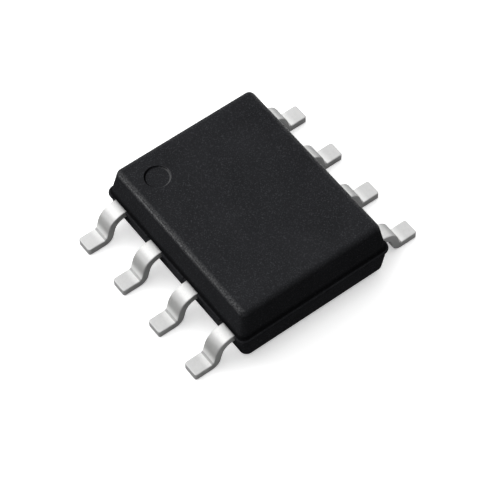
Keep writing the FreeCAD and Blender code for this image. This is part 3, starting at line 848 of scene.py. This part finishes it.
def plain_metal(name, tint, grain, roughness):
    """A bare metal whose tone, roughness and relief vary a little from grain to grain."""
    material, write = new_finish(name)
    cloud = write.noise(grain, detail=3)
    tone = 0.75 + 0.3 * cloud
    rough = roughness + 0.15 * cloud
    relief = 0.0005 * MM
    write.surface(Base_Color=write.toned(tint, tone), Metallic=1.0, Roughness=rough,
                  Normal=write.bump(cloud, relief))
    return material


def attach_finish(finishes):
    """Silver-filled epoxy: pale grey with bright flakes."""
    material, write = new_finish("silver_epoxy")
    flake_width = 0.01 * MM
    flake = write.noise(flake_width, detail=4, roughness=0.7).rise(0.5, 0.7)
    tone = 0.7 + 0.3 * flake
    metal = 0.6 * flake
    rough = 0.6 - 0.2 * flake
    write.surface(Base_Color=write.toned(finishes.die_attach, tone), Metallic=metal,
                  Roughness=rough)
    return material


def silicon_finish(finishes):
    """Polished silicon with faint fields on it."""
    material, write = new_finish("polished_silicon")
    field_width = 0.12 * MM
    field = write.noise(field_width, detail=1).rise(0.45, 0.55)
    tone = 0.8 + 0.2 * field
    rough = 0.12 + 0.08 * field
    write.surface(Base_Color=write.toned(finishes.silicon, tone), Metallic=0.4,
                  Roughness=rough)
    return material


def floor_finish(studio):
    """Plain pale floor that shows white to the eye and in reflections, and keeps its shadow.

    The light that it returns to the object is that of a darker floor, so that the white round
    the object doesn't brighten it.
    """
    material, write = new_finish("studio_floor")
    seen = write.node("ShaderNodeLightPath", output="Is Camera Ray")
    glossy = write.node("ShaderNodeLightPath", output="Is Glossy Ray")
    through = write.node("ShaderNodeLightPath", output="Is Transmission Ray")
    plain = write.node("ShaderNodeBsdfDiffuse", inputs={"Color": (*studio.floor, 1.0)})
    dim = write.node("ShaderNodeBsdfDiffuse", inputs={"Color": (*studio.floor_bounce, 1.0)})
    strength = studio.floor_glow * seen + studio.floor_shine * (glossy + through)
    glow = write.node("ShaderNodeEmission", inputs={"Color": WHITE, "Strength": strength})
    shown = write.node("ShaderNodeAddShader", inputs={0: plain, 1: glow})
    write.finish_with(write.node("ShaderNodeMixShader", inputs={
        0: (seen + glossy + through).clamped(), 1: dim, 2: shown}))
    return material


def surroundings(studio):
    """A studio that is bright on the side the light comes from, shaded on the other side, and
    has a white cove all round at the height of the horizon."""
    world = bpy.data.worlds.new("surroundings")
    world.use_nodes = True
    write = Finish(world.node_tree)
    direction = write.node("ShaderNodeTexCoord", output="Generated")
    toward = write.node("ShaderNodeVectorMath", {"operation": "DOT_PRODUCT"},
                        {0: direction, 1: studio.light_side}, output="Value")
    height = write.node("ShaderNodeSeparateXYZ", inputs={"Vector": direction}, output="Z")
    sky = studio.shade + (studio.bright - studio.shade) * toward.rise(0.2, 1.0)
    cove = 1 - abs(height).rise(studio.cove_height, studio.cove_fade)
    strength = cove + (1 - cove) * sky
    glow = write.node("ShaderNodeBackground", inputs={"Color": WHITE, "Strength": strength})
    write.node("ShaderNodeOutputWorld", inputs={"Surface": glow})
    return world


# Stage and operators


class CHIP_OT_mould_body(bpy.types.Operator):
    """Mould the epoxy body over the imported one"""
    bl_idname = "chip.mould_body"
    bl_label = "Mould the body"

    def execute(self, context):
        scene = context.scene
        piece = mould(scene.chip_moulding, scene.chip_leads)
        piece.data.materials.append(epoxy_finish(scene.chip_finishes))
        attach(piece, "root")
        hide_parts("moulded_body")
        return {"FINISHED"}


class CHIP_OT_form_leads(bpy.types.Operator):
    """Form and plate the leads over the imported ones"""
    bl_idname = "chip.form_leads"
    bl_label = "Form the leads"

    def execute(self, context):
        scene = context.scene
        leads, moulding = scene.chip_leads, scene.chip_moulding
        shoulder = moulding.width / 2 - moulding.ledge + leads.shoulder_reach
        tin = tin_finish(scene.chip_finishes, (bend_marks(leads, shoulder) / MM).tolist())
        steps = lead_steps()
        places = [(-1, step) for step in steps] + [(1, step) for step in steps[::-1]]
        for node, (side, step) in zip(lead_names, places):
            shift = side * step * (leads.head_pitch - leads.pitch)
            grid, numbers = form_lead(leads, shoulder, shift)
            grid = grid * (side, side, 1) + (0, step * leads.pitch, 0)
            piece = skin(f"plated_{node}", grid, numbers=numbers)
            piece.data.materials.append(tin)
            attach(piece, "root")
            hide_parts(node)
        return {"FINISHED"}


class CHIP_OT_finish_inside(bpy.types.Operator):
    """Give the sealed pieces their finishes"""
    bl_idname = "chip.finish_inside"
    bl_label = "Finish the inside"

    def execute(self, context):
        finishes = context.scene.chip_finishes
        gold = plain_metal("gold_wire", finishes.gold, grain=0.01 * MM, roughness=0.25)
        inside = {name: gold for name in wire_names}
        inside["die_paddle"] = plain_metal("bare_copper", finishes.copper, grain=0.03 * MM,
                                           roughness=0.35)
        inside["die_attach"] = attach_finish(finishes)
        inside["silicon_die"] = silicon_finish(finishes)
        for name, material in inside.items():
            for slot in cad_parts[name].material_slots:
                slot.material = material
        return {"FINISHED"}


def softbox(name, place, edge, radiance):
    """A square lamp that faces the object. Its power is radiance times pi times area."""
    data = bpy.data.lights.new(name, "AREA")
    data.shape = "SQUARE"
    data.size = edge
    data.energy = radiance * math.pi * edge ** 2
    lamp = bpy.data.objects.new(name, data)
    lamp.location = place
    lamp.visible_camera = False
    lamp.rotation_mode = "QUATERNION"
    lamp.rotation_quaternion = Vector(place).to_track_quat("Z", "Y")
    bpy.context.scene.collection.objects.link(lamp)


def aim_camera(studio):
    """The photograph's camera: it looks at the aim from an azimuth, an elevation and a roll."""
    data = bpy.data.cameras.new("camera")
    data.lens = studio.lens
    data.clip_start = studio.distance / 50
    data.clip_end = 10.0
    camera = bpy.data.objects.new("camera", data)
    turn = Matrix.Rotation(studio.azimuth, 4, "Z")
    tilt = Matrix.Rotation(math.pi / 2 - studio.elevation, 4, "X")
    roll = Matrix.Rotation(studio.roll, 4, "Z")
    back = Matrix.Translation((0, 0, studio.distance))
    camera.matrix_world = Matrix.Translation(studio.aim) @ turn @ tilt @ roll @ back
    bpy.context.scene.collection.objects.link(camera)
    bpy.context.scene.camera = camera


class CHIP_OT_set_stage(bpy.types.Operator):
    """Lay the floor, hang the lamps and set the camera"""
    bl_idname = "chip.set_stage"
    bl_label = "Set the stage"

    def execute(self, context):
        scene = context.scene
        studio = scene.chip_studio
        reach = studio.floor_size / 2
        corners = [(-reach, -reach), (reach, -reach), (reach, reach), (-reach, reach)]
        mesh = bpy.data.meshes.new("floor")
        mesh.from_pydata([(*corner, -studio.floor_drop) for corner in corners], [],
                         [range(len(corners))])
        floor = bpy.data.objects.new("floor", mesh)
        scene.collection.objects.link(floor)
        floor.data.materials.append(floor_finish(studio))

        softbox("top_light", studio.top_light_place, studio.top_light_size,
                studio.top_light)
        softbox("edge_light", studio.edge_light_place, studio.edge_light_size,
                studio.edge_light)
        scene.world = surroundings(studio)
        scene.view_settings.view_transform = "Standard"
        aim_camera(studio)
        return {"FINISHED"}


class CHIP_PT_panel(bpy.types.Panel):
    """Sidebar panel with one button for each step"""
    bl_idname = "CHIP_PT_panel"
    bl_label = "Small-outline chip"
    bl_space_type = "VIEW_3D"
    bl_region_type = "UI"
    bl_category = "Chip"

    def draw(self, context):
        for step in STEPS:
            self.layout.operator(step.bl_idname)


STEPS = (CHIP_OT_mould_body, CHIP_OT_form_leads, CHIP_OT_finish_inside, CHIP_OT_set_stage)
SETTINGS = {
    "chip_moulding": MouldingSizes,
    "chip_leads": LeadSizes,
    "chip_finishes": ChipFinishes,
    "chip_studio": StudioSettings,
}
CLASSES = (*SETTINGS.values(), *STEPS, CHIP_PT_panel)


def register():
    """Make the settings, the steps and the panel known to Blender."""
    for kind in CLASSES:
        bpy.utils.register_class(kind)
    for name, kind in SETTINGS.items():
        setattr(bpy.types.Scene, name, PointerProperty(type=kind))


def unregister():
    """Take them all out again."""
    for name in SETTINGS:
        delattr(bpy.types.Scene, name)
    for kind in reversed(CLASSES):
        bpy.utils.unregister_class(kind)


def main():
    """Register the add-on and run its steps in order."""
    register()
    bpy.ops.chip.mould_body()
    bpy.ops.chip.form_leads()
    bpy.ops.chip.finish_inside()
    bpy.ops.chip.set_stage()


if __name__ == "__main__":
    main()
